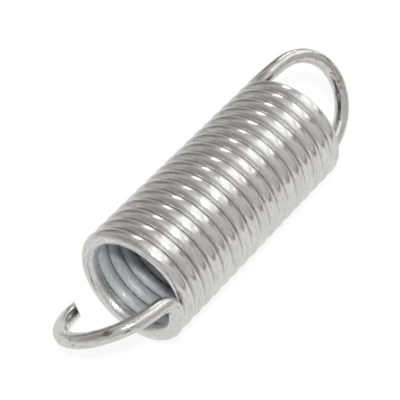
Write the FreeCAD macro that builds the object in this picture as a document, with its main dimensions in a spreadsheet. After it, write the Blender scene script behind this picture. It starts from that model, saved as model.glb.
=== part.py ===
"""Seat tension spring: one length of round steel wire, close wound, with an open hook at each end.

The spring lies on its side. X runs along the axis of the coil, Z is up, and the origin is on the surface
under the middle of the coil. The wire's centre line is drawn as the wire is formed: a coil, and at each end
a tight bend that turns the wire out of the coil and a wide arc that carries it across the end as a hook.
The tips are sheared off on a slant, longer on the outside of the hook. Both ends are alike, half a turn apart
about Z.
"""
import FreeCAD, Part
import math
import os

# Driving sizes, in millimetres and degrees. Radii are those of the wire's centre line.
SIZES = {
    "wire_diameter": 4.0,
    "coil_outer_diameter": 33.0,
    "coil_turns": 17.6,
    "coil_gap": 0.05,
    "bend_radius": 7.0,
    "bend_angle": 81.0,
    "bend_roll_angle": -4.4,
    "hook_radius": 15.25,
    "hook_sweep_angle": 175.5,
    "hook_roll_angle": -60.0,
    "tip_cut_angle": 36.0,
}
VOLUME_TOLERANCE_PERCENT = 0.2

# Sizes that follow from the driving ones, as the document's own expressions
PITCH = "(sizes.wire_diameter + sizes.coil_gap)"
COIL_LENGTH = f"({PITCH} * sizes.coil_turns)"
COIL_RADIUS = "((sizes.coil_outer_diameter - sizes.wire_diameter) / 2)"
AXIS_HEIGHT = "(sizes.coil_outer_diameter / 2)"
HALF_WIND = "(sizes.coil_turns * 180)"
WIND_SLOPE = f"atan({PITCH} / (2 * pi * {COIL_RADIUS}))"
TIP_WASTE = "(0.6 * sizes.wire_diameter * tan(sizes.tip_cut_angle))"
UNCUT_SWEEP = f"(sizes.hook_sweep_angle + {TIP_WASTE} / sizes.hook_radius * 180 / pi)"
CUTTER_DEPTH = "sizes.wire_diameter"
CUTTER_WIDTH = "(1.75 * sizes.wire_diameter)"

X_AXIS = "1; 0; 0"
Y_AXIS = "0; 1; 0"
Z_AXIS = "0; 0; 1"
AXIS_ONTO_X = "1; 0; 1"


def fill_sheet(doc):
    """Keep the driving sizes in a sheet, one named cell each."""
    sheet = doc.addObject("Spreadsheet::Sheet", "sizes")
    for row, (name, value) in enumerate(SIZES.items(), start=1):
        sheet.set(f"A{row}", name)
        sheet.set(f"B{row}", str(value))
        sheet.setAlias(f"B{row}", name)
    doc.recompute()
    return sheet


def move(x=0, y=0, z=0):
    """Expression of a plain shift."""
    return f"placement(vector({x}; {y}; {z}); rotation(vector({Z_AXIS}); 0))"


def turn(axis, angle):
    """Expression of a turn about an axis through the origin, in degrees."""
    return f"placement(vector(0; 0; 0); rotation(vector({axis}); {angle}))"


def place(piece, *steps):
    """Place a piece by moves and turns, each in the frame that the one before it left."""
    piece.setExpression("Placement", " * ".join(steps))


def add_coil(doc):
    """Centre line of the close-wound coil, right-handed about X, with its middle on top."""
    coil = doc.addObject("Part::Helix", "coil_line")
    coil.SegmentLength = 1
    coil.setExpression("Pitch", PITCH)
    coil.setExpression("Height", COIL_LENGTH)
    coil.setExpression("Radius", COIL_RADIUS)
    place(
        coil,
        move(x=f"-{COIL_LENGTH} / 2", z=AXIS_HEIGHT),
        turn(X_AXIS, f"-{HALF_WIND}"),
        turn(AXIS_ONTO_X, 180),
    )
    return coil


def add_arc(doc, name, radius, sweep, roll, *start):
    """Arc of the centre line. It leaves the start along X and bends towards Y, once rolled about the wire."""
    arc = doc.addObject("Part::Circle", name)
    arc.setExpression("Radius", radius)
    arc.Angle1 = 0
    arc.setExpression("Angle2", sweep)
    place(arc, *start, turn(X_AXIS, roll), move(y=radius), turn(Z_AXIS, -90))
    return arc


def arc_end(arc, radius, sweep):
    """Steps to the far end of an arc, with X along the wire."""
    return (f"{arc.Name}.Placement", turn(Z_AXIS, f"90 + {sweep}"), move(y=f"-{radius}"))


def add_hook(doc):
    """Bend and hook at the far end of the coil, and the wire's round section at the hook's uncut tip."""
    coil_end = (
        move(z=AXIS_HEIGHT),
        turn(X_AXIS, HALF_WIND),
        move(x=f"{COIL_LENGTH} / 2", z=COIL_RADIUS),
        turn(Z_AXIS, f"{WIND_SLOPE} - 90 deg"),
    )
    bend_size = ("sizes.bend_radius", "sizes.bend_angle")
    hook_size = ("sizes.hook_radius", UNCUT_SWEEP)
    bend = add_arc(doc, "far_bend_line", *bend_size, "sizes.bend_roll_angle", *coil_end)
    hook = add_arc(doc, "far_hook_line", *hook_size, "sizes.hook_roll_angle", *arc_end(bend, *bend_size))

    section = doc.addObject("Part::Circle", "wire_section")
    section.setExpression("Radius", "sizes.wire_diameter / 2")
    place(section, *arc_end(hook, *hook_size), turn(Y_AXIS, 90))
    return bend, hook, section


def add_opposite(doc, name, arc):
    """The same arc at the other end of the spring, half a turn about Z away."""
    twin = doc.addObject("Part::Circle", name)
    twin.setExpression("Radius", f"{arc.Name}.Radius")
    twin.Angle1 = 0
    twin.setExpression("Angle2", f"{arc.Name}.Angle2")
    place(twin, turn(Z_AXIS, 180), f"{arc.Name}.Placement")
    return twin


def add_drawn_wire(doc):
    """Sweep the round section along the whole centre line, from one uncut tip to the other."""
    coil = add_coil(doc)
    far_bend, far_hook, section = add_hook(doc)
    near_bend = add_opposite(doc, "near_bend_line", far_bend)
    near_hook = add_opposite(doc, "near_hook_line", far_hook)

    line = doc.addObject("Part::Compound", "wire_line")
    line.Links = [far_hook, far_bend, coil, near_bend, near_hook]
    doc.recompute()

    drawn = doc.addObject("Part::Sweep", "drawn_wire")
    drawn.Sections = [section]
    drawn.Spine = (line, [f"Edge{number}" for number in range(1, len(line.Shape.Edges) + 1)])
    drawn.Solid = True
    drawn.Frenet = True
    doc.recompute()
    return line, far_hook, drawn


def add_cutter(doc, name, *steps):
    """Block that shears a tip off along the block's own YZ plane."""
    cutter = doc.addObject("Part::Box", name)
    cutter.setExpression("Length", CUTTER_DEPTH)
    cutter.setExpression("Width", CUTTER_WIDTH)
    cutter.setExpression("Height", CUTTER_WIDTH)
    place(cutter, *steps)
    return cutter


def shear_tips(doc, drawn, far_hook):
    """Cut both tips on a slant, in the plane of their hook."""
    tip = arc_end(far_hook, "sizes.hook_radius", "sizes.hook_sweep_angle")
    lean = turn(Z_AXIS, "sizes.tip_cut_angle")
    middle = move(y=f"-{CUTTER_WIDTH} / 2", z=f"-{CUTTER_WIDTH} / 2")
    far_cutter = add_cutter(doc, "far_cutter", *tip, lean, middle)
    near_cutter = add_cutter(doc, "near_cutter", turn(Z_AXIS, 180), *tip, lean, middle)
    cutters = doc.addObject("Part::Compound", "cutters")
    cutters.Links = [far_cutter, near_cutter]

    wire = doc.addObject("Part::Cut", "spring_wire")
    wire.Label = "spring_wire"
    wire.Base = drawn
    wire.Tool = cutters
    doc.recompute()
    return wire


def check_document(doc):
    """Stop if anything in the document failed to compute."""
    for piece in doc.Objects:
        if "Invalid" in piece.State or "Error" in piece.State:
            raise RuntimeError(f"{piece.Label} failed: {piece.State}")


def check_wire(sheet, line, far_hook, wire):
    """Stop unless the wire is one valid solid, as large as its section times its length between the cuts."""
    shape = wire.Shape
    if shape.isNull() or not shape.isValid() or len(shape.Solids) != 1:
        raise RuntimeError(f"{wire.Label} is not one valid solid")
    diameter = sheet.get("wire_diameter")
    uncut = math.radians(far_hook.Angle2.Value - sheet.get("hook_sweep_angle")) * sheet.get("hook_radius")
    length = sum(edge.Length for edge in line.Shape.Edges) - 2 * uncut
    expected = math.pi / 4 * diameter ** 2 * length
    if abs(shape.Volume / expected - 1) * 100 > VOLUME_TOLERANCE_PERCENT:
        raise RuntimeError(f"{wire.Label} has volume {shape.Volume:.1f}, expected {expected:.1f}")
    print(f"{wire.Label}: {length:.1f} mm of wire, {shape.Volume:.1f} mm3 of steel, expected {expected:.1f}")


def main():
    doc = FreeCAD.newDocument("seat_spring")
    sheet = fill_sheet(doc)
    line, far_hook, drawn = add_drawn_wire(doc)
    wire = shear_tips(doc, drawn, far_hook)
    check_document(doc)
    check_wire(sheet, line, far_hook, wire)
    os.makedirs("parts", exist_ok=True)
    wire.Shape.Solids[0].exportStep(f"parts/{wire.Label}.step")


main()
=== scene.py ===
# %% [markdown]
# # A seat tension spring in bright zinc
# The object is one length of drawn steel wire, wound close into a coil and bent into an open hook at each
# end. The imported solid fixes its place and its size. This lesson adds what the solid lacks: the look of
# plated wire, soft studio light, and the camera of the photograph. Lengths are written in millimetres, as
# on a spring maker's drawing, and become metres where a mesh is made.

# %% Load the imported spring
import math

import bpy
import numpy as np
from mathutils import Matrix, Vector


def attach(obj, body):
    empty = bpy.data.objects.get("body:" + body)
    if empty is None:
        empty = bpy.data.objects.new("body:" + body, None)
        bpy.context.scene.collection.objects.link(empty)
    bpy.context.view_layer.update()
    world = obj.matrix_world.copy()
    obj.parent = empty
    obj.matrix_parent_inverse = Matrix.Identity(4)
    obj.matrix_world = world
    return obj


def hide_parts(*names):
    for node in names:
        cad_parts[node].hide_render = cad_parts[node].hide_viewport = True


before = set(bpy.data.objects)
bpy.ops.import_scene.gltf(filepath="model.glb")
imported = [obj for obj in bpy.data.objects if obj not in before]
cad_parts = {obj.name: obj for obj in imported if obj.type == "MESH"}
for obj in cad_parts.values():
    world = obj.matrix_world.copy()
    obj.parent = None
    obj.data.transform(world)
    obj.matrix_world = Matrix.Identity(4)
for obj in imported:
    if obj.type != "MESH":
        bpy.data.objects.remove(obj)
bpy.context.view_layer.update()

MM = 0.001

# %% [markdown]
# ## The camera
# The photograph looks steeply down on the open end of the coil, through a long lens, with the horizon
# tipped. A camera can be turned by hand or aimed by a constraint. Here it is built from the point it aims
# at, its distance and three angles, so that each of them can be read and changed by itself.

# %% Aim the camera
LENS_MM = 150.0
AIM = Vector((-1.707, 3.415, 16.323)) * MM
CAMERA_DISTANCE = 433.15 * MM
LOOK_DOWN = math.radians(54.07)
HEADING = math.radians(67.10)
ROLL = math.radians(17.31)
NEAREST_SEEN = 10 * MM

level_reach = math.cos(LOOK_DOWN)
forward = Vector((math.sin(HEADING) * level_reach, math.cos(HEADING) * level_reach, -math.sin(LOOK_DOWN)))
level_right = forward.cross(Vector((0, 0, 1))).normalized()
level_up = level_right.cross(forward)
right = level_right * math.cos(ROLL) + level_up * math.sin(ROLL)
up = level_up * math.cos(ROLL) - level_right * math.sin(ROLL)

camera_data = bpy.data.cameras.new("camera")
camera_data.lens = LENS_MM
camera_data.clip_start = NEAREST_SEEN
camera = bpy.data.objects.new("camera", camera_data)
bpy.context.scene.collection.objects.link(camera)
facing = Matrix((right, up, -forward)).transposed().to_4x4()
camera.matrix_world = Matrix.Translation(AIM - forward * CAMERA_DISTANCE) @ facing
bpy.context.scene.camera = camera
print("camera at, in mm:", [round(value / MM, 1) for value in camera.matrix_world.translation])

# %% [markdown]
# ## The line of the wire
# A spring maker winds the coil first and then bends each end up: a tight bend turns the wire out of the
# coil, and a wide arc carries it across the end as a hook. A curve object with a round bevel would draw
# this too, but the finish later needs to know how far along and how far around the wire each point is. So
# the line is worked out here, point by point, with its direction, and the section is carried along it in
# the next step.

# %% Wind the coil
WIRE_RADIUS = 2.0
COIL_RADIUS = 14.5
COIL_TURNS = 17.6
PITCH = 4.05
AXIS_HEIGHT = 16.5
RING_STEP = 0.9


def coil_line():
    """Points of the coil about its own axis, and the wire's direction at each."""
    half_wind = math.pi * COIL_TURNS
    steps = round(2 * half_wind * COIL_RADIUS / RING_STEP)
    wind = np.linspace(-half_wind, half_wind, steps + 1)
    advance = PITCH / math.tau
    side, height = -COIL_RADIUS * np.sin(wind), COIL_RADIUS * np.cos(wind)
    points = np.stack([advance * wind, side, height], axis=1)
    directions = np.stack([np.full_like(wind, advance), -height, side], axis=1)
    return points, directions / np.linalg.norm(directions, axis=1, keepdims=True)


coil_points, coil_directions = coil_line()
print("coil rings:", len(coil_points))

# %% Bend the far end into its hook
BEND_RADIUS = 7.0
BEND_SWEEP = math.radians(81.0)
BEND_ROLL = math.radians(-4.4)
HOOK_RADIUS = 15.25
HOOK_SWEEP = math.radians(175.5)
HOOK_ROLL = math.radians(-60.0)


def turned(axis, angle):
    """Turn about one axis, as a 3 by 3 array."""
    return np.array(Matrix.Rotation(angle, 3, axis))


def arc_line(start, heading, radius, sweep):
    """Carry the wire round one arc: its points, their directions, and the heading at its end."""
    steps = round(radius * sweep / RING_STEP)
    angle = np.linspace(0, sweep, steps + 1)[1:]
    flat = np.zeros_like(angle)
    bow = radius * np.stack([np.sin(angle), 1 - np.cos(angle), flat], axis=1)
    directions = np.stack([np.cos(angle), np.sin(angle), flat], axis=1)
    return start + bow @ heading.T, directions @ heading.T, heading @ turned("Z", sweep)


slope = math.atan(PITCH / (math.tau * COIL_RADIUS))
coil_end_heading = turned("X", math.pi * COIL_TURNS) @ turned("Z", slope - math.pi / 2)
bend_heading = coil_end_heading @ turned("X", BEND_ROLL)
bend_points, bend_directions, bend_end = arc_line(coil_points[-1], bend_heading, BEND_RADIUS, BEND_SWEEP)
hook_heading = bend_end @ turned("X", HOOK_ROLL)
hook_points, hook_directions, _ = arc_line(bend_points[-1], hook_heading, HOOK_RADIUS, HOOK_SWEEP)
hook_centre = bend_points[-1] + hook_heading @ np.array([0, HOOK_RADIUS, 0])
print("rings in one bend and hook:", len(bend_points) + len(hook_points))

# %% Join both ends to the coil
HALF_TURN = np.array([-1.0, -1.0, 1.0])

far_points = np.concatenate([bend_points, hook_points])
far_directions = np.concatenate([bend_directions, hook_directions])
near_points = far_points[::-1] * HALF_TURN
near_directions = -far_directions[::-1] * HALF_TURN
line = np.concatenate([near_points, coil_points, far_points])
directions = np.concatenate([near_directions, coil_directions, far_directions])
along = np.concatenate([[0], np.cumsum(np.linalg.norm(np.diff(line, axis=0), axis=1))])
print("length of wire, in mm:", round(along[-1], 1))

# %% [markdown]
# ## The round section
# A section that is turned to face the coil's axis would spin where the bends begin. A frame that is carried
# along and only ever tipped as much as the wire itself turns keeps still, so the drawing lines stay in line
# with the wire. The last stretch of each hook leans over ring by ring until it lies in the slanted cut of
# the shears.

# %% Carry the section along the wire
AROUND = 48


def carried_across(directions):
    """One direction square to the wire at each point, carried along without twist."""
    across = np.empty_like(directions)
    carried = np.array([0.0, 0.0, 1.0])
    for index, direction in enumerate(directions):
        carried = carried - direction * (carried @ direction)
        carried = carried / np.linalg.norm(carried)
        across[index] = carried
    return across


across = carried_across(directions)
beside = np.cross(directions, across)
angle = np.arange(AROUND) * math.tau / AROUND
outward = across[:, None] * np.cos(angle)[:, None] + beside[:, None] * np.sin(angle)[:, None]
sideways = beside[:, None] * np.cos(angle)[:, None] - across[:, None] * np.sin(angle)[:, None]
rings = line[:, None] + WIRE_RADIUS * outward
print("rings of", AROUND, "points:", len(rings))

# %% Lean the tips into their slanted cut
TIP_CUT = math.radians(36.0)
LEAN_LENGTH = 9.0


def leaned(points, share):
    """Swing points about the far hook's middle, by a share of what brings them onto the cut."""
    place = (points - hook_centre) @ hook_heading
    reach = np.hypot(place[..., 0], place[..., 1])
    swing = share * (TIP_CUT - np.arcsin(HOOK_RADIUS * math.sin(TIP_CUT) / reach))
    swung = place.copy()
    swung[..., 0] = place[..., 0] * np.cos(swing) - place[..., 1] * np.sin(swing)
    swung[..., 1] = place[..., 0] * np.sin(swing) + place[..., 1] * np.cos(swing)
    return hook_centre + swung @ hook_heading.T


lean_rings = round(LEAN_LENGTH / RING_STEP)
lean = np.linspace(0, 1, lean_rings)[:, None] ** 2
rings[-lean_rings:] = leaned(rings[-lean_rings:], lean)
rings[:lean_rings] = leaned(rings[:lean_rings] * HALF_TURN, lean[::-1]) * HALF_TURN
print("rings leaned at each tip:", lean_rings)

# %% [markdown]
# ## The cut tips
# Shears leave a flat, slanted face with a rim that the plating softens a little. A bevel modifier could
# round the rim, but two smaller rings and a middle point do the same with a handful of faces: the outer
# ring stands back from the cut by the width of the rim, and the next ones lie in the cut.

# %% Close the tips
RIM = 0.12
INNER_RING = 0.3


def cap_rings(end_ring, wire_direction):
    """The standing-back ring, two rings in the cut and the cut's middle point."""
    middle = end_ring.mean(axis=0)
    shoulder = end_ring - RIM * wire_direction
    rim = middle + (end_ring - middle) * (1 - RIM / WIRE_RADIUS)
    inner = middle + (end_ring - middle) * (1 - INNER_RING / WIRE_RADIUS)
    return shoulder, rim, inner, middle


near_shoulder, near_rim, near_inner, near_middle = cap_rings(rings[0], -directions[0])
far_shoulder, far_rim, far_inner, far_middle = cap_rings(rings[-1], directions[-1])
rings[0] = near_shoulder
rings[-1] = far_shoulder
all_rings = np.concatenate([[near_inner, near_rim], rings, [far_rim, far_inner]])
print("cut tips at, in mm:", near_middle.round(1), far_middle.round(1))

# %% [markdown]
# ## The mesh
# The rings become one closed skin: a row of four-sided faces between each ring and the next, and a fan at
# each tip. Building it straight from arrays is quick, and every point keeps its number, so values can be
# stored beside it.

# %% Number the faces
ring_count = len(all_rings)
ring_index = np.arange(ring_count - 1)[:, None]
around_index = np.arange(AROUND)[None, :]
next_index = (around_index + 1) % AROUND
corners = [
    ring_index * AROUND + around_index,
    ring_index * AROUND + next_index,
    (ring_index + 1) * AROUND + next_index,
    (ring_index + 1) * AROUND + around_index,
]
sides = np.stack(corners, axis=-1).reshape(-1, 4)

near_point = ring_count * AROUND
far_point = near_point + 1
last_ring = (ring_count - 1) * AROUND
near_fan = [(near_point, (step + 1) % AROUND, step) for step in range(AROUND)]
far_fan = [(far_point, last_ring + step, last_ring + (step + 1) % AROUND) for step in range(AROUND)]
print("faces on the sides and in the fans:", len(sides), len(near_fan) + len(far_fan))

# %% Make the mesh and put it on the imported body
vertices = np.concatenate([all_rings.reshape(-1, 3), [near_middle, far_middle]])
vertices = (vertices + np.array([0, 0, AXIS_HEIGHT])) * MM
wire_mesh = bpy.data.meshes.new("zinc_spring_wire")
wire_mesh.from_pydata(vertices.tolist(), [], sides.tolist() + near_fan + far_fan)
wire_mesh.polygons.foreach_set("use_smooth", [True] * len(wire_mesh.polygons))
wire_mesh.validate()
spring = bpy.data.objects.new("zinc_spring_wire", wire_mesh)
bpy.context.scene.collection.objects.link(spring)
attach(spring, "root")
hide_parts("spring_wire")
print("faces in the mesh:", len(wire_mesh.polygons))

# %% [markdown]
# ## Values that the finish will read
# The wire is drawn before it is wound, so its marks run along the wire and not along the coil. A vector on
# each point gives its place on the wire pulled straight: how far along, and its two offsets in the section.
# Noise read there has no seam. A second vector points around the wire, for the stretched gloss of drawn
# metal.

# %% Store the place on the straight wire
def store(name, kind, values):
    """Keep one value per point on the mesh, under a name that the material asks for."""
    attribute = wire_mesh.attributes.new(name, kind, "POINT")
    field = "vector" if kind == "FLOAT_VECTOR" else "value"
    attribute.data.foreach_set(field, np.asarray(values, dtype=np.float32).ravel())


def with_caps(per_ring, near_value, far_value):
    """Give the rings of each cut the values of the tip's last ring, and each middle point one value."""
    whole = np.concatenate([per_ring[:1], per_ring[:1], per_ring, per_ring[-1:], per_ring[-1:]])
    flat = whole.reshape(-1, *whole.shape[2:])
    return np.concatenate([flat, [near_value, far_value]])


section = WIRE_RADIUS * np.stack([np.cos(angle), np.sin(angle)], axis=1)
along_part = np.broadcast_to(along[:, None, None], (len(line), AROUND, 1))
section_part = np.broadcast_to(section[None], (len(line), AROUND, 2))
straight = np.concatenate([along_part, section_part], axis=2)
store("straight_wire", "FLOAT_VECTOR", with_caps(straight, (along[0], 0, 0), (along[-1], 0, 0)))
store("around_wire", "FLOAT_VECTOR", with_caps(sideways, sideways[0, 0], sideways[-1, 0]))
print("points that know their place on the wire:", len(wire_mesh.vertices))

# %% [markdown]
# ## Where the plating differs
# Three more numbers tell the finish where it is. The bath reaches the bore badly, so the zinc there is
# dull, and less so on the end turns, which lie open to it. Where turns touch, the groove gets painted shade
# outside and painted light on the bore's side. The hooks are bent and handled after winding. An image could
# hold all this, but numbers on the points need no picture and no layout.

# %% Mark the bore
BRIGHT_TURNS = 0.2
DULLING_TURNS = 1.3
LEAST_DULL = 0.38

coil_start = len(near_points)
coil_rings = len(coil_points)
rings_per_turn = (coil_rings - 1) / COIL_TURNS
ring_in_coil = np.arange(len(line)) - coil_start
in_coil = (ring_in_coil >= 0) & (ring_in_coil < coil_rings)

to_axis = -line * np.array([0, 1, 1])
to_axis = to_axis / np.linalg.norm(to_axis, axis=1, keepdims=True)
faces_bore = np.einsum("rak,rk->ra", outward, to_axis) * in_coil[:, None]
turns_deep = np.minimum(ring_in_coil, coil_rings - 1 - ring_in_coil) / rings_per_turn
dull_share = np.clip((turns_deep - BRIGHT_TURNS) / DULLING_TURNS, LEAST_DULL, 1)
faces_bore = np.where(faces_bore > 0, faces_bore * dull_share[:, None], faces_bore)
store("faces_bore", "FLOAT", with_caps(faces_bore, 0, 0))
print("turns until the bore is fully dull:", BRIGHT_TURNS + DULLING_TURNS)

# %% Mark the grooves and the hooks
turn_before = in_coil & (ring_in_coil > rings_per_turn)
turn_after = in_coil & (ring_in_coil < coil_rings - rings_per_turn)
towards_far_end = outward[..., 0]
has_neighbour = np.where(towards_far_end > 0, turn_after[:, None], turn_before[:, None])
near_groove = has_neighbour * np.abs(towards_far_end)
store("near_groove", "FLOAT", with_caps(near_groove, 0, 0))

past_coil = np.maximum(along[coil_start] - along, along - along[coil_start + coil_rings - 1])
in_hook = np.clip(past_coil / (BEND_RADIUS * BEND_SWEEP), 0, 1)
in_hook = np.broadcast_to(in_hook[:, None], near_groove.shape)
store("in_hook", "FLOAT", with_caps(in_hook, 1, 1))
print("values stored:", [name for name in wire_mesh.attributes.keys() if not name.startswith(".")])

# %% [markdown]
# ## The unrolled skin
# A picture of the finish may be baked later, and it needs the skin laid out flat. An automatic layout would
# break a coil into hundreds of scraps. Wire unrolls by itself into one long ribbon, which is cut into rows
# here.

# %% Unroll the wire into rows
ROWS = 12
ROW_MARGIN = 0.03
FAN_TIP = 0.999

rings_per_row = math.ceil((ring_count - 1) / ROWS)
row = ring_index // rings_per_row
row_start = (ring_index - row * rings_per_row) / rings_per_row
row_end = row_start + 1 / rings_per_row


def row_height(row, step):
    """Height in the layout of a step around the wire, in its own row."""
    inside = ROW_MARGIN + (1 - 2 * ROW_MARGIN) * step / AROUND
    return (row + inside) / ROWS


low = row_height(row, around_index)
high = row_height(row, around_index + 1)
start = np.broadcast_to(row_start, low.shape)
end = np.broadcast_to(row_end, low.shape)
side_layout = np.stack([start, low, start, high, end, high, end, low], axis=-1).reshape(-1, 2)
fan_layout = []
for fan_row in (0, ROWS - 1):
    for step in range(AROUND):
        foot = (1, row_height(fan_row, step)), (1, row_height(fan_row, step + 1))
        fan_layout += [(FAN_TIP, row_height(fan_row, step + 0.5)), *foot]
layout = wire_mesh.uv_layers.new(name="OFBake")
layout.uv.foreach_set("vector", np.concatenate([side_layout, fan_layout]).astype(np.float32).ravel())
print("rows of wire in the layout:", ROWS)

# %% [markdown]
# ## Bright zinc on drawn wire
# Plated wire is a mirror with faults. The die leaves fine lines along it, and the bath leaves clouds,
# streaks, grain, dark specks and a skin that is not quite flat. They could be painted on an image. Noise
# that is read on the straight wire needs none, and two numbers give each fault its size: its grains per
# millimetre along the wire and across it.

# %% Start the material
zinc = bpy.data.materials.new("zinc_plated_wire")
zinc.use_nodes = True
tree = zinc.node_tree
shader = tree.nodes["Principled BSDF"]
spring.data.materials.append(zinc)


def add_node(kind, **values):
    """Add one node and set its sockets by name."""
    node = tree.nodes.new(kind)
    for name, value in values.items():
        node.inputs[name].default_value = value
    return node


def read_value(name):
    """Node that reads a value stored on the mesh."""
    node = tree.nodes.new("ShaderNodeAttribute")
    node.attribute_name = name
    return node


straight_place = read_value("straight_wire").outputs["Vector"]
in_hook_value = read_value("in_hook").outputs["Fac"]
faces_bore_value = read_value("faces_bore").outputs["Fac"]
near_groove_value = read_value("near_groove").outputs["Fac"]
print("material started:", zinc.name)

# %% Read noise on the straight wire
def wire_noise(grains_along, grains_across, detail, roughness=0.5):
    """Noise on the straight wire, with its grains per millimetre."""
    mapping = add_node("ShaderNodeMapping", Scale=(grains_along, grains_across, grains_across))
    noise = add_node("ShaderNodeTexNoise", Scale=1.0, Detail=detail, Roughness=roughness)
    tree.links.new(straight_place, mapping.inputs["Vector"])
    tree.links.new(mapping.outputs["Vector"], noise.inputs["Vector"])
    return noise.outputs["Fac"]


clouds = wire_noise(grains_along=0.10, grains_across=0.45, detail=3)
drawing_lines = wire_noise(grains_along=0.04, grains_across=5.0, detail=4, roughness=0.6)
dents = wire_noise(grains_along=0.40, grains_across=0.8, detail=2)
streaks = wire_noise(grains_along=0.45, grains_across=2.4, detail=3, roughness=0.6)
grain = wire_noise(grains_along=1.3, grains_across=3.4, detail=3, roughness=0.7)
specks = wire_noise(grains_along=2.2, grains_across=3.2, detail=2)
stains = wire_noise(grains_along=0.25, grains_across=0.9, detail=4, roughness=0.65)
print("noises on the straight wire: clouds, drawing lines, dents, streaks, grain, specks and stains")

# %% [markdown]
# ## The colour of the zinc
# Zinc hardly has a colour, so nearly all of these are greys. Each step lays one fault over what is below
# it, and its noise says how much. Outside, clouds come first, then the greyer hooks and their dark stains,
# and over everything the streaks, the grain and a few specks.

# %% Helpers that mix numbers and colours
def ramp(value, low, high, low_result=0.0, high_result=1.0):
    """Map a value smoothly from one range to another."""
    node = add_node("ShaderNodeMapRange")
    node.interpolation_type = "SMOOTHSTEP"
    limits = {"From Min": low, "From Max": high, "To Min": low_result, "To Max": high_result}
    for name, number in limits.items():
        node.inputs[name].default_value = number
    tree.links.new(value, node.inputs["Value"])
    return node.outputs["Result"]


def mixed(amount, first, second):
    """Mix two colours, each given as a colour or as a node's output."""
    node = tree.nodes.new("ShaderNodeMixRGB")
    tree.links.new(amount, node.inputs["Fac"])
    for name, colour in (("Color1", first), ("Color2", second)):
        if isinstance(colour, tuple):
            node.inputs[name].default_value = colour
        else:
            tree.links.new(colour, node.inputs[name])
    return node.outputs["Color"]


def joined(operation, first, second):
    """Join two numbers by a sum or a product."""
    node = tree.nodes.new("ShaderNodeMath")
    node.operation = operation
    tree.links.new(first, node.inputs[0])
    tree.links.new(second, node.inputs[1])
    return node.outputs["Value"]


def summed(first, second):
    """Sum of two numbers."""
    return joined("ADD", first, second)


def times(first, second):
    """Product of two numbers."""
    return joined("MULTIPLY", first, second)


print("helpers ready: ramp, mixed, summed, times")

# %% Colour the outside and the hooks
BRIGHT_ZINC = (0.86, 0.855, 0.845, 1)
CLOUDY_ZINC = (0.78, 0.775, 0.77, 1)
HOOK_ZINC = (0.78, 0.77, 0.76, 1)
HOOK_STAIN = (0.20, 0.175, 0.205, 1)
STREAK_GREY = (0.66, 0.66, 0.655, 1)
GRAIN_GREY = (0.62, 0.62, 0.61, 1)
SPECK_GREY = (0.36, 0.35, 0.34, 1)
CLOUD_RANGE = (0.35, 0.65)
STAIN_RANGE = (0.56, 0.66)
STREAK_RANGE = (0.45, 0.70)
GRAIN_RANGE = (0.50, 0.75)
SPECK_RANGE = (0.70, 0.78)
MOST_SPECK = 0.6

coil_colour = mixed(ramp(clouds, *CLOUD_RANGE), BRIGHT_ZINC, CLOUDY_ZINC)
hook_colour = mixed(ramp(clouds, *CLOUD_RANGE), HOOK_ZINC, CLOUDY_ZINC)
outside_colour = mixed(in_hook_value, coil_colour, hook_colour)
outside_colour = mixed(times(in_hook_value, ramp(stains, *STAIN_RANGE)), outside_colour, HOOK_STAIN)
outside_colour = mixed(ramp(streaks, *STREAK_RANGE), outside_colour, STREAK_GREY)
outside_colour = mixed(ramp(grain, *GRAIN_RANGE), outside_colour, GRAIN_GREY)
outside_colour = mixed(ramp(specks, *SPECK_RANGE, 0.0, MOST_SPECK), outside_colour, SPECK_GREY)
print("outside mixed from", len(tree.nodes), "nodes")

# %% [markdown]
# ## The bore and the grooves
# In the bore the zinc is cooler, mottled and only partly a mirror: it scatters light as a matt skin does.
# The line where two turns touch is painted grey on the outside, as painted shade in the groove. On the
# bore's side it is painted paler instead, as painted light that keeps the grooves there soft.

# %% Colour the bore and the grooves
BORE_ZINC = (0.50, 0.528, 0.54, 1)
BORE_CLOUD = (0.38, 0.405, 0.415, 1)
BORE_GROOVE_PAINTED_LIGHT = (0.74, 0.755, 0.76, 1)
GROOVE_PAINTED_SHADE = (0.40, 0.39, 0.38, 1)
BORE_METAL = 0.35
BORE_RANGE = (0.1, 0.7)
MOTTLE_RANGE = (0.85, 1.2)
GROOVE_LIGHT_RANGE = (0.75, 1.0)
GROOVE_SHADE_RANGE = (0.95, 0.99)
OUTER_SIDE = (0.05, -0.03)

bore_amount = ramp(faces_bore_value, *BORE_RANGE)
bore_colour = mixed(ramp(summed(streaks, grain), *MOTTLE_RANGE), BORE_ZINC, BORE_CLOUD)
# painted light: the bore's side of each groove is painted paler, to lift the shade that falls there
bore_colour = mixed(ramp(near_groove_value, *GROOVE_LIGHT_RANGE), bore_colour, BORE_GROOVE_PAINTED_LIGHT)
wall_colour = mixed(bore_amount, outside_colour, bore_colour)
# painted shade: the outside of the line where turns touch is painted grey, standing in for the shade in the
# groove
painted_groove_shade = times(ramp(near_groove_value, *GROOVE_SHADE_RANGE), ramp(faces_bore_value, *OUTER_SIDE))
zinc_colour = mixed(painted_groove_shade, wall_colour, GROOVE_PAINTED_SHADE)
tree.links.new(zinc_colour, shader.inputs["Base Color"])
tree.links.new(ramp(bore_amount, 0.0, 1.0, 1.0, BORE_METAL), shader.inputs["Metallic"])
print("share of metal in the bore:", BORE_METAL)

# %% [markdown]
# ## Gloss and skin
# Clouds and streaks take some gloss away, and the bore is duller still, with glossier grains. Drawn
# metal also stretches its highlights, which anisotropic gloss does once it knows the way around the wire.
# Faults as shallow as these would need far more faces than the wire has, so they are bumps: fine lines from
# the die, dents, streaks and grain, deeper in the bore and with flatter dents on the hooks.

# %% Set the gloss
STRETCHED_GLOSS = 0.45
GLOSS_CLOUDS = (0.3, 0.7)
CLOUD_ROUGHNESS = (0.06, 0.11)
GLOSS_STREAKS = (0.35, 0.65)
STREAK_ROUGHNESS = (0.0, 0.08)
GLOSS_GRAIN = (0.45, 0.66)
BORE_ROUGHNESS = (0.48, 0.12)

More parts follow.
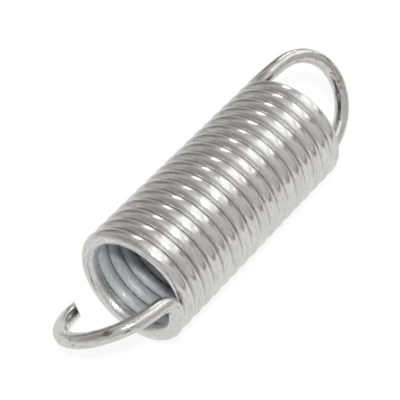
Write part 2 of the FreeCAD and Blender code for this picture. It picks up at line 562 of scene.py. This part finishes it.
cloud_roughness = ramp(clouds, *GLOSS_CLOUDS, *CLOUD_ROUGHNESS)
streak_roughness = ramp(streaks, *GLOSS_STREAKS, *STREAK_ROUGHNESS)
bore_roughness = times(bore_amount, ramp(grain, *GLOSS_GRAIN, *BORE_ROUGHNESS))
roughness = summed(summed(cloud_roughness, streak_roughness), bore_roughness)
tree.links.new(roughness, shader.inputs["Roughness"])
shader.inputs["Anisotropic"].default_value = STRETCHED_GLOSS
tree.links.new(read_value("around_wire").outputs["Vector"], shader.inputs["Tangent"])
print("roughness outside:", CLOUD_ROUGHNESS, "and up to", STREAK_ROUGHNESS[1], "more in streaks")

# %% Roughen the skin
LINE_DEPTH = 0.004
DENT_DEPTHS = (0.06, 0.03)
STREAK_DEPTHS = (0.05, 0.10)
GRAIN_DEPTHS = (0.028, 0.08)
FULL_DEPTH = 1.0


def bumped(height, depth, normal=None):
    """Raise the surface by a height times a depth in millimetres, on top of another bump."""
    node = add_node("ShaderNodeBump", Strength=1.0, Distance=depth * MM)
    tree.links.new(height, node.inputs["Height"])
    if normal is not None:
        tree.links.new(normal, node.inputs["Normal"])
    return node.outputs["Normal"]


dent_height = times(dents, ramp(in_hook_value, 0.0, 1.0, *DENT_DEPTHS))
streak_height = times(streaks, ramp(bore_amount, 0.0, 1.0, *STREAK_DEPTHS))
grain_height = times(grain, ramp(bore_amount, 0.0, 1.0, *GRAIN_DEPTHS))
drawn_skin = bumped(drawing_lines, LINE_DEPTH, bumped(dent_height, FULL_DEPTH))
skin = bumped(summed(streak_height, grain_height), FULL_DEPTH, drawn_skin)
tree.links.new(skin, shader.inputs["Normal"])
print("zinc nodes:", len(tree.nodes))

# %% [markdown]
# ## A white sheet
# Polished metal shows what stands around it, so the ground matters as much as the finish. The spring lies
# on a white sheet. A very bright light would make it white, and would bleach the spring too. Instead the
# sheet glows for the camera, keeps a share of real light for the spring's shadow, and turns fully white
# away from it, where its edge then doesn't show. In reflections it is a little grey, and greyer towards the
# back. A low card along the front, which the camera doesn't see, carries the white up a little in the metal.

# %% Make the paper
WHITE = (1, 1, 1, 1)
PAPER_WHITE = (0.92, 0.92, 0.92, 1)
PAPER_ROUGHNESS = 0.9
PAPER_SHINE = 0.1

paper = bpy.data.materials.new("white_paper")
paper.use_nodes = True
tree = paper.node_tree
matt = tree.nodes["Principled BSDF"]
matt.inputs["Base Color"].default_value = PAPER_WHITE
matt.inputs["Roughness"].default_value = PAPER_ROUGHNESS
matt.inputs["Specular IOR Level"].default_value = PAPER_SHINE
print("paper reflects a share of", PAPER_WHITE[0])

# %% Let the paper glow for the camera
SHEET_GLOW = 0.88
GLOW_FROM, GLOW_FULL = 0.12, 0.35
MIRRORED_NEAR, MIRRORED_FAR = 0.78, 0.38
FADE_FROM, FADE_TO = 0.03, 0.11

position = tree.nodes.new("ShaderNodeNewGeometry").outputs["Position"]
place = add_node("ShaderNodeSeparateXYZ")
tree.links.new(position, place.inputs["Vector"])
distance = tree.nodes.new("ShaderNodeVectorMath")
distance.operation = "LENGTH"
tree.links.new(position, distance.inputs[0])

ray = tree.nodes.new("ShaderNodeLightPath")
seen = summed(ray.outputs["Is Camera Ray"], ray.outputs["Is Transmission Ray"])
mirrored = ray.outputs["Is Glossy Ray"]
mirrored_level = ramp(place.outputs["Y"], FADE_FROM, FADE_TO, MIRRORED_NEAR, MIRRORED_FAR)
glow = add_node("ShaderNodeEmission", Color=WHITE)
tree.links.new(summed(seen, times(mirrored, mirrored_level)), glow.inputs["Strength"])
seen_glow = times(seen, ramp(distance.outputs["Value"], GLOW_FROM, GLOW_FULL, SHEET_GLOW, 1.0))
both = tree.nodes.new("ShaderNodeMixShader")
tree.links.new(summed(seen_glow, mirrored), both.inputs["Fac"])
tree.links.new(matt.outputs["BSDF"], both.inputs[1])
tree.links.new(glow.outputs["Emission"], both.inputs[2])
tree.links.new(both.outputs["Shader"], tree.nodes["Material Output"].inputs["Surface"])
print("paper glows for the camera by", SHEET_GLOW)

# %% Lay the sheet and stand a card
SHEET_ENDS = (-0.6, 0.6)
SHEET_SIDES = (-0.45, 0.11)
CARD_ENDS = (-0.35, 0.25)
CARD_SIDE = -0.3
CARD_HEIGHT = 0.045


def stand_paper(name, corners):
    """One flat piece of paper of the stage, from its four corners in metres."""
    mesh = bpy.data.meshes.new(name)
    mesh.from_pydata(corners, [], [(0, 1, 2, 3)])
    mesh.materials.append(paper)
    piece = bpy.data.objects.new(name, mesh)
    bpy.context.scene.collection.objects.link(piece)
    return piece


near_edge, far_edge = SHEET_ENDS
front, back = SHEET_SIDES
sheet_corners = [(near_edge, front, 0), (far_edge, front, 0), (far_edge, back, 0), (near_edge, back, 0)]
stand_paper("white_sheet", sheet_corners)
card_foot = [(end, CARD_SIDE, 0) for end in CARD_ENDS]
card_top = [(end, CARD_SIDE, CARD_HEIGHT) for end in reversed(CARD_ENDS)]
card = stand_paper("white_card", card_foot + card_top)
card.visible_camera = False
print("sheet from", SHEET_SIDES[0], "to", SHEET_SIDES[1], "m, with an unseen card at", CARD_SIDE)

# %% [markdown]
# ## A grey room
# The metal mirrors the room as well. A panorama of a real room could stand here, but it would be a picture.
# A few soft shapes do the same: greys that brighten with height, dim and dark sides, a bright patch
# overhead, a dark strip above the sheet's edge, and a slanted window with one bar. Each is placed by where
# it is seen from the spring. The camera sees plain white in their place.

# %% Grey the room by height
ROOM_HEIGHTS = {0.0: 0.52, 0.5: 0.56, 0.77: 0.62, 0.88: 0.78, 0.95: 0.96, 0.985: 1.10}
ROOM_TINT = (1.0, 0.985, 0.965)

world = bpy.data.worlds.new("studio")
world.use_nodes = True
bpy.context.scene.world = world
tree = world.node_tree
looking = tree.nodes.new("ShaderNodeTexCoord").outputs["Generated"]
split = tree.nodes.new("ShaderNodeSeparateXYZ")
tree.links.new(looking, split.inputs["Vector"])
steepness = split.outputs["Z"]
heights = tree.nodes.new("ShaderNodeValToRGB")
tree.links.new(steepness, heights.inputs["Fac"])
stops = heights.color_ramp.elements
for height in list(ROOM_HEIGHTS)[1:-1]:
    stops.new(height)
for stop, (height, level) in zip(stops, ROOM_HEIGHTS.items()):
    stop.position = height
    stop.color = (*[level * tint for tint in ROOM_TINT], 1)
room_colour = heights.outputs["Color"]
print("room levels by height:", ROOM_HEIGHTS)

# %% Lay soft patches on the room
DIM_SIDE = {"colour": (0.52, 0.507, 0.49, 1), "middle": (95, 15), "fades_out": 75, "full": 40}
DARK_SIDE = {"colour": (0.255, 0.237, 0.22, 1), "middle": (68, 8), "fades_out": 33, "full": 4}
DARK_CORNER = {"colour": (0.34, 0.325, 0.31, 1), "middle": (138, 28), "fades_out": 36, "full": 8}
BRIGHT_PATCH = {"colour": (1.15, 1.16, 1.17, 1), "middle": (-148, 70), "fades_out": 19, "full": 11}


def towards(bearing, height):
    """Direction on a bearing from X towards Y and a height above the sheet, both in degrees."""
    level = math.cos(math.radians(height))
    bearing = math.radians(bearing)
    return Vector((level * math.cos(bearing), level * math.sin(bearing), math.sin(math.radians(height))))


def looking_along(direction):
    """How far the looked-at direction lies along another, as a cosine."""
    node = tree.nodes.new("ShaderNodeVectorMath")
    node.operation = "DOT_PRODUCT"
    node.inputs[1].default_value = direction
    tree.links.new(looking, node.inputs[0])
    return node.outputs["Value"]


def nearness(middle, fades_out, full):
    """One within an angle of a direction, fading to nothing at a wider one."""
    outer, inner = math.cos(math.radians(fades_out)), math.cos(math.radians(full))
    return ramp(looking_along(towards(*middle)), outer, inner)


for patch in (DIM_SIDE, DARK_SIDE, DARK_CORNER, BRIGHT_PATCH):
    amount = nearness(patch["middle"], patch["fades_out"], patch["full"])
    room_colour = mixed(amount, room_colour, patch["colour"])
print("patches laid, the brightest at", BRIGHT_PATCH["middle"])

# %% Darken a strip above the sheet's edge
TABLE_EDGE = (0.27, 0.262, 0.255, 1)
STRIP_FOOT = (3, 6)
STRIP_TOP = (15, 9)
STRIP_PART = {"middle": (-68, 8), "fades_out": 42, "full": 26}


def sines(*angles):
    """Sines of angles in degrees."""
    return [math.sin(math.radians(angle)) for angle in angles]


strip = times(ramp(steepness, *sines(*STRIP_FOOT)), ramp(steepness, *sines(*STRIP_TOP)))
room_colour = mixed(times(strip, nearness(**STRIP_PART)), room_colour, TABLE_EDGE)
print("strip above the sheet's edge, up to", STRIP_TOP[0], "degrees")

# %% Helpers for straight edges in the room
SOFT_EDGE = math.sin(math.radians(2.5))


def left_of(edge):
    """How far to the left of a straight edge, which is seen through two directions, as a sine."""
    upper, lower = edge
    return looking_along(towards(*upper).cross(towards(*lower)).normalized())


def beyond(edge):
    """One on the left of an edge, and nothing on its right."""
    return ramp(left_of(edge), -SOFT_EDGE, SOFT_EDGE)


def bar(edge, span):
    """One on a bar beside an edge, between two angles to the left of it in degrees."""
    first, last = sines(*span)
    begins = ramp(left_of(edge), first - SOFT_EDGE, first + SOFT_EDGE)
    ends = ramp(left_of(edge), last + SOFT_EDGE, last - SOFT_EDGE)
    return times(begins, ends)


print("edges fade over a sine of", round(2 * SOFT_EDGE, 3))

# %% Open a window
WINDOW = (1.34, 1.34, 1.33, 1)
WINDOW_BAR = (0.62, 0.62, 0.61, 1)
WINDOW_FRAME = (0.33, 0.325, 0.32, 1)
SLANTED_EDGE = (-42, 51), (-9, 12)
UPRIGHT_EDGE = (12, 60), (12, 0)
CORNER = (-46, 60), (-46, 0)
BAR_SPAN = (7.5, 11)
FRAME_SPAN = (-9, -2)
FRAME_PART = {"middle": (-20, 22), "fades_out": 40, "full": 28}

panes = mixed(bar(SLANTED_EDGE, BAR_SPAN), WINDOW, WINDOW_BAR)
frame_amount = times(bar(SLANTED_EDGE, FRAME_SPAN), nearness(**FRAME_PART))
room_colour = mixed(frame_amount, room_colour, WINDOW_FRAME)
window_colour = mixed(beyond(UPRIGHT_EDGE), panes, room_colour)
room_colour = mixed(times(beyond(CORNER), beyond(SLANTED_EDGE)), room_colour, window_colour)
print("window brightness:", WINDOW[0])

# %% Show the camera plain white
room = tree.nodes["Background"]
tree.links.new(room_colour, room.inputs["Color"])
white = add_node("ShaderNodeBackground", Color=WHITE, Strength=1.0)
ray = tree.nodes.new("ShaderNodeLightPath")
seen = summed(ray.outputs["Is Camera Ray"], ray.outputs["Is Transmission Ray"])
both = tree.nodes.new("ShaderNodeMixShader")
tree.links.new(seen, both.inputs["Fac"])
tree.links.new(room.outputs["Background"], both.inputs[1])
tree.links.new(white.outputs["Background"], both.inputs[2])
tree.links.new(both.outputs["Shader"], tree.nodes["World Output"].inputs["Surface"])
print("room nodes:", len(tree.nodes))

# %% [markdown]
# ## Three lamps
# Metal mirrors a lamp's own outline, so the first two are area lights, which have one. A tall, leaning lamp
# stands beyond the far end of the spring and draws the row of short bright marks along the turns. A small,
# strong lamp hangs a little above the camera and lights the dull zinc of the bore. Its image would sparkle
# in every groove, so it is kept out of the metal. A narrow spot from the same place puts its glints back
# where they belong, on the rim, the near hook and the bore.

# %% Hang the tall lamp and the key lamp
LAMP_TOP, LAMP_FOOT = towards(49, 42), towards(25, 12)
LAMP_WIDTH = 0.15
LAMP_BRIGHTNESS = 1.6
KEY_PLACE = towards(-163, 63.5)
KEY_WIDTH = 0.06
KEY_BRIGHTNESS = 520.0
POWER_PER_BRIGHTNESS = 4.0


def hang_lamp(name, place, facing, width, depth, brightness):
    """Area light at a place, turned by a rotation, with its brightness as seen from the spring."""
    data = bpy.data.lights.new(name, "AREA")
    data.shape = "RECTANGLE"
    data.size = width
    data.size_y = depth
    data.energy = POWER_PER_BRIGHTNESS * width * depth * brightness
    lamp = bpy.data.objects.new(name, data)
    bpy.context.scene.collection.objects.link(lamp)
    lamp.location = place
    lamp.rotation_euler = facing.to_euler()
    lamp.visible_camera = False
    return lamp


lamp_place = (LAMP_TOP + LAMP_FOOT) / 2
lamp_rise = LAMP_TOP - LAMP_FOOT
lamp_across = lamp_rise.cross(lamp_place).normalized()
lamp_away = lamp_across.cross(lamp_rise).normalized()
lamp_facing = Matrix((lamp_across, lamp_away.cross(lamp_across), lamp_away)).transposed()
hang_lamp("tall_lamp", lamp_place, lamp_facing, LAMP_WIDTH, lamp_rise.length, LAMP_BRIGHTNESS)
key_facing = KEY_PLACE.to_track_quat("Z", "Y").to_matrix()
key_lamp = hang_lamp("key_lamp", KEY_PLACE, key_facing, KEY_WIDTH, KEY_WIDTH, KEY_BRIGHTNESS)
key_lamp.visible_glossy = False
print("tall lamp, in metres:", LAMP_WIDTH, "by", round(lamp_rise.length, 2))

# %% Aim a spot lamp into the open end
SPOT_AIM = Vector((-42.0, 2.0, 8.0)) * MM
SPOT_WIDTH = math.radians(2.7)
SPOT_SOFTNESS = 0.5
SPOT_RADIUS = 0.03
SPOT_POWER = 34.0

spot_data = bpy.data.lights.new("glint_lamp", "SPOT")
spot_data.energy = SPOT_POWER
spot_data.spot_size = SPOT_WIDTH
spot_data.spot_blend = SPOT_SOFTNESS
spot_data.shadow_soft_size = SPOT_RADIUS
glint_lamp = bpy.data.objects.new("glint_lamp", spot_data)
bpy.context.scene.collection.objects.link(glint_lamp)
glint_lamp.location = KEY_PLACE
glint_lamp.rotation_euler = (KEY_PLACE - SPOT_AIM).to_track_quat("Z", "Y").to_euler()
glint_lamp.visible_camera = False
glint_lamp.visible_diffuse = False

# %% [markdown]
# ## Finish
# The dressed spring fills the same box as the imported one. The colours are shown with the standard view
# transform.

# %% Finish
bpy.context.scene.view_settings.view_transform = "Standard"
